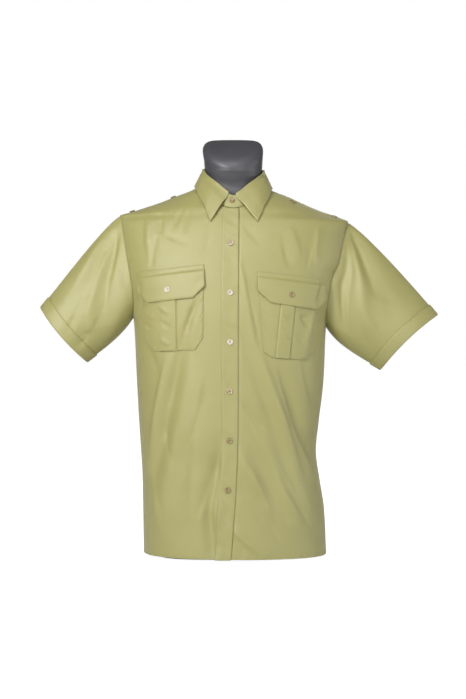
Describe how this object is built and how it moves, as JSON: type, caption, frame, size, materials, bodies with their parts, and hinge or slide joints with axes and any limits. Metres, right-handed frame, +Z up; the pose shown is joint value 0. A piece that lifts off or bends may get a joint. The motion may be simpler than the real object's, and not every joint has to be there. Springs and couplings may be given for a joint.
{
  "type": "short-sleeved military shirt on a limbless dress form",
  "caption": "Short-sleeved khaki military shirt, buttoned to the neck, with a pointed collar, flapped pleated chest pockets and turned-up cuffs, worn by a plain limbless dress form.",
  "frame": {"origin": "middle of the dress form's flat base, on the floor", "axes": "+Z up, -Y to the shirt's front, +X to the wearer's left"},
  "size_m": [0.8613, 0.2892, 0.9058],
  "materials": {
    "shirt_cloth": "smooth twill with a soft sheen",
    "form_shell": "satin dark grey",
    "button_pearl": "polished, pearly",
    "button_horn": "polished, mottled"
  },
  "bodies": {
    "root": {"dress_form": "form_shell", "back": "shirt_cloth", "yoke": "shirt_cloth", "front_right": "shirt_cloth", "front_left": "shirt_cloth", "sleeve_right": "shirt_cloth", "sleeve_left": "shirt_cloth", "cuff_right": "shirt_cloth", "cuff_left": "shirt_cloth", "pocket_right": "shirt_cloth", "pocket_left": "shirt_cloth", "pocket_flap_right": "shirt_cloth", "pocket_flap_left": "shirt_cloth", "placket": "shirt_cloth", "collar_stand": "shirt_cloth", "collar_leaf": "shirt_cloth", "button_placket_1": "button_pearl", "button_placket_2": "button_pearl", "button_placket_3": "button_pearl", "button_placket_4": "button_horn", "button_placket_5": "button_horn", "button_placket_6": "button_horn", "button_flap_right": "button_pearl", "button_flap_left": "button_horn", "button_shoulder_right_inner": "button_horn", "button_shoulder_right_outer": "button_horn", "button_shoulder_left_inner": "button_horn", "button_shoulder_left_outer": "button_horn", "button_collar": "button_horn"}
  },
  "joints": []
}
